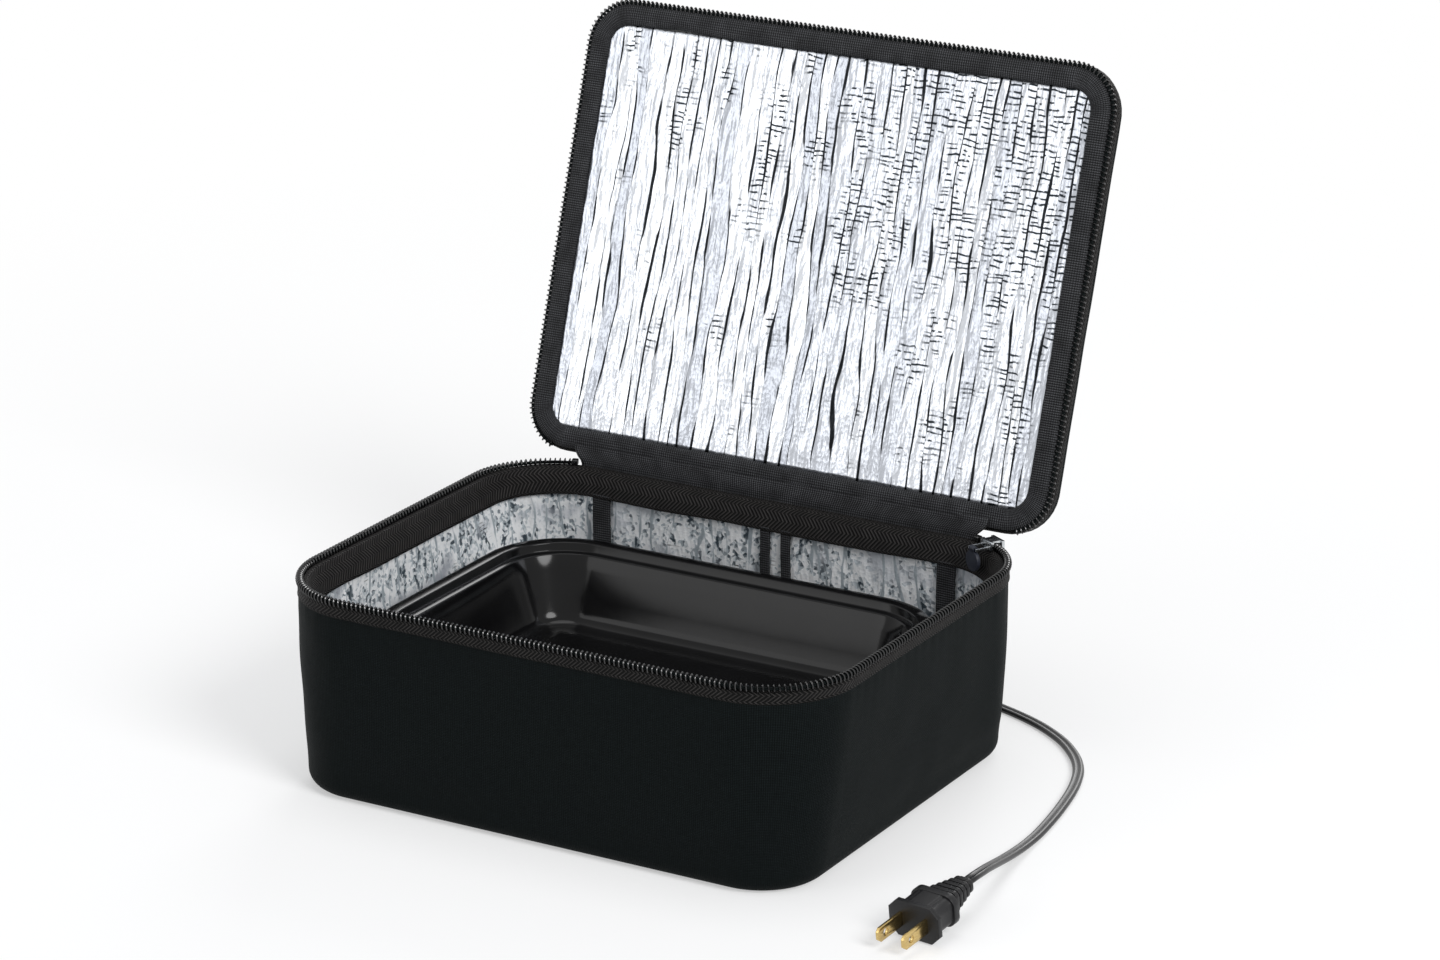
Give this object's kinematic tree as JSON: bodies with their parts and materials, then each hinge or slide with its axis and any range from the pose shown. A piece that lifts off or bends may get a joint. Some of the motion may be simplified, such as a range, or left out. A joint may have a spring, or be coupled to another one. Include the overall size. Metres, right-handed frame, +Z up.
{
  "type": "electric lunch box",
  "caption": "Zip-up insulated lunch bag with foil lining and hinged lid, holding a corded heating plate and a rectangular food container.",
  "frame": {"origin": "on the floor under the middle of the bag", "axes": "+Z up, +X to the right seen from the front, +Y towards the back wall and the lid hinge"},
  "size_m": [0.3373, 0.3224, 0.2961],
  "materials": {
    "outer_fabric": "woven",
    "base_board": "matt",
    "foam": "closed cell foam",
    "foil": "crinkled foil",
    "woven_band": "woven tape",
    "zip_tape": "herringbone tape",
    "zip_coil": "nylon coil",
    "webbing": "webbing",
    "slider_metal": "plated",
    "pull_rubber": "satin",
    "plate_metal": "satin coated aluminium",
    "housing_plastic": "moulded, fine grain",
    "cover_plastic": "moulded",
    "element_foil": "etched foil",
    "felt_pad": "ceramic felt",
    "thermostat_metal": "pressed",
    "fuse_brass": "plain",
    "terminal_plastic": "moulded",
    "screw_steel": "zinc plated",
    "soft_rubber": "matt",
    "container_plastic": "gloss moulded",
    "cord_jacket": "satin PVC",
    "plug_plastic": "satin PVC",
    "blade_brass": "bright"
  },
  "bodies": {
    "bag": {"outer_shell": "outer_fabric", "base_board": "base_board", "insulation_foam": "foam", "foil_lining": "foil", "rim_band": "woven_band", "rim_zip_tape": "zip_tape", "rim_zip_coil": "zip_coil", "zip_end_stops": "zip_coil", "seam_binding_left": "woven_band", "seam_binding_right": "woven_band", "slit_bindings": "woven_band", "hinge_strip": "woven_band", "cord_outlet": "soft_rubber", "inner_lead": "cord_jacket", "cord_to_coil": "cord_jacket", "cord_coil": "cord_jacket", "coil_tie": "webbing", "cord_to_plug": "cord_jacket", "plug_body": "plug_plastic", "plug_relief": "plug_plastic", "plug_blades": "blade_brass"},
    "lid": {"lid_outer_panel": "outer_fabric", "lid_foam": "foam", "lid_foil_panel": "foil", "lid_binding": "woven_band", "lid_zip_tape": "zip_tape", "lid_zip_coil": "zip_coil", "carry_handle": "webbing"},
    "slider": {"zip_slider": "slider_metal"},
    "pull": {"pull_tab": "pull_rubber"},
    "heating_unit": {"heating_plate": "plate_metal", "plate_housing": "housing_plastic", "bottom_cover": "cover_plastic", "heating_element": "element_foil", "insulation_pad": "felt_pad", "thermostat": "thermostat_metal", "thermal_fuse": "fuse_brass", "terminal_block": "terminal_plastic", "lead_wires": "cord_jacket", "cover_screws": "screw_steel", "foot_pads": "soft_rubber", "cord_boot": "soft_rubber"},
    "food_container": {"container": "container_plastic"}
  },
  "joints": [
    {"name": "lid_hinge", "type": "hinge", "parent": "bag", "child": "lid", "pos_m": [0, 0.1074, 0.0959], "axis": [-1, 0, 0], "range_deg": [-108.5, 0]},
    {"name": "plate_lift", "type": "slide", "parent": "bag", "child": "heating_unit", "axis": [0, 0, 1], "range_m": [0, 0.124], "deforming": ["inner_lead"]},
    {"name": "container_lift", "type": "slide", "parent": "heating_unit", "child": "food_container", "axis": [0, 0, 1], "range_m": [0, 0.066]},
    {"name": "slider_turn", "type": "hinge", "parent": "bag", "child": "slider", "pos_m": [0.094, 0.065, 0.092], "axis": [0, 0, 1], "range_deg": [-60, 0]},
    {"name": "pull_swing", "type": "hinge", "parent": "slider", "child": "pull", "pos_m": [0.1091, 0.09115, 0.0929], "axis": [-0.866, 0.5, 0], "range_deg": [0, 90]}
  ]
}
